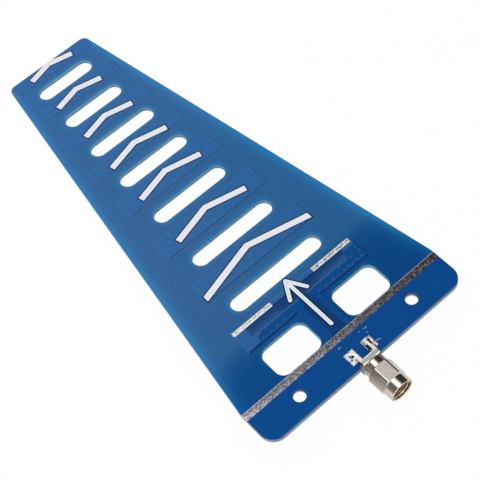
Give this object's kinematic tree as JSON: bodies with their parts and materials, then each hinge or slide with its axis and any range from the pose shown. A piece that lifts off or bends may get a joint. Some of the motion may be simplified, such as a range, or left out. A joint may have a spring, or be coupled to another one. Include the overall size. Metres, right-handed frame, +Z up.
{
  "type": "printed directional antenna",
  "caption": "Tapered printed-circuit directional antenna with slotted board, director foils, tinned reflector bar and an edge-launch coaxial plug with a free coupling nut.",
  "frame": {"origin": "midway between the two mounting holes, on the board's underside", "axes": "+Y is the way the antenna points, towards the narrow end; +Z is up from the printed face; the plug's mouth faces -Y"},
  "size_m": [0.075, 0.1696, 0.008],
  "materials": {
    "board": "glass-epoxy laminate under satin blue solder mask, pale cut edges",
    "masked_foil": "copper foil under satin blue solder mask",
    "white_print": "matt white screen print",
    "tin": "mottled hot-tinned copper",
    "solder": "bright uneven solder",
    "nickel": "nickel-plated turned brass",
    "spring_bronze": "spring bronze",
    "gold_contact": "gold-plated brass",
    "dielectric": "white PTFE",
    "gasket": "matt silicone rubber"
  },
  "bodies": {
    "antenna": {"circuit_board": "board", "director_1": "masked_foil", "director_2": "masked_foil", "director_3": "masked_foil", "director_4": "masked_foil", "director_5": "masked_foil", "director_6": "masked_foil", "director_7": "masked_foil", "back_director_1": "masked_foil", "back_director_2": "masked_foil", "back_director_3": "masked_foil", "back_director_4": "masked_foil", "back_director_5": "masked_foil", "back_director_6": "masked_foil", "back_director_7": "masked_foil", "chevron_1": "white_print", "chevron_2": "white_print", "chevron_3": "white_print", "chevron_4": "white_print", "chevron_5": "white_print", "chevron_6": "white_print", "chevron_7": "white_print", "driven_element": "masked_foil", "ground_foil": "masked_foil", "back_ground_foil": "masked_foil", "feed_trace": "masked_foil", "aim_arrow": "white_print", "reflector_bar": "tin", "tuning_strip_left": "tin", "tuning_strip_right": "tin", "plug_body": "nickel", "retaining_ring": "spring_bronze", "centre_contact": "gold_contact", "dielectric": "dielectric", "gasket": "gasket", "solder_top_left": "solder", "solder_top_right": "solder", "solder_under_left": "solder", "solder_under_right": "solder", "solder_tab": "solder"},
    "nut": {"coupling_nut": "nickel"}
  },
  "joints": [
    {"name": "nut_spin", "type": "hinge", "parent": "antenna", "child": "nut", "pos_m": [0, -0.012, 0.0001], "axis": [0, -1, 0], "continuous": true}
  ]
}
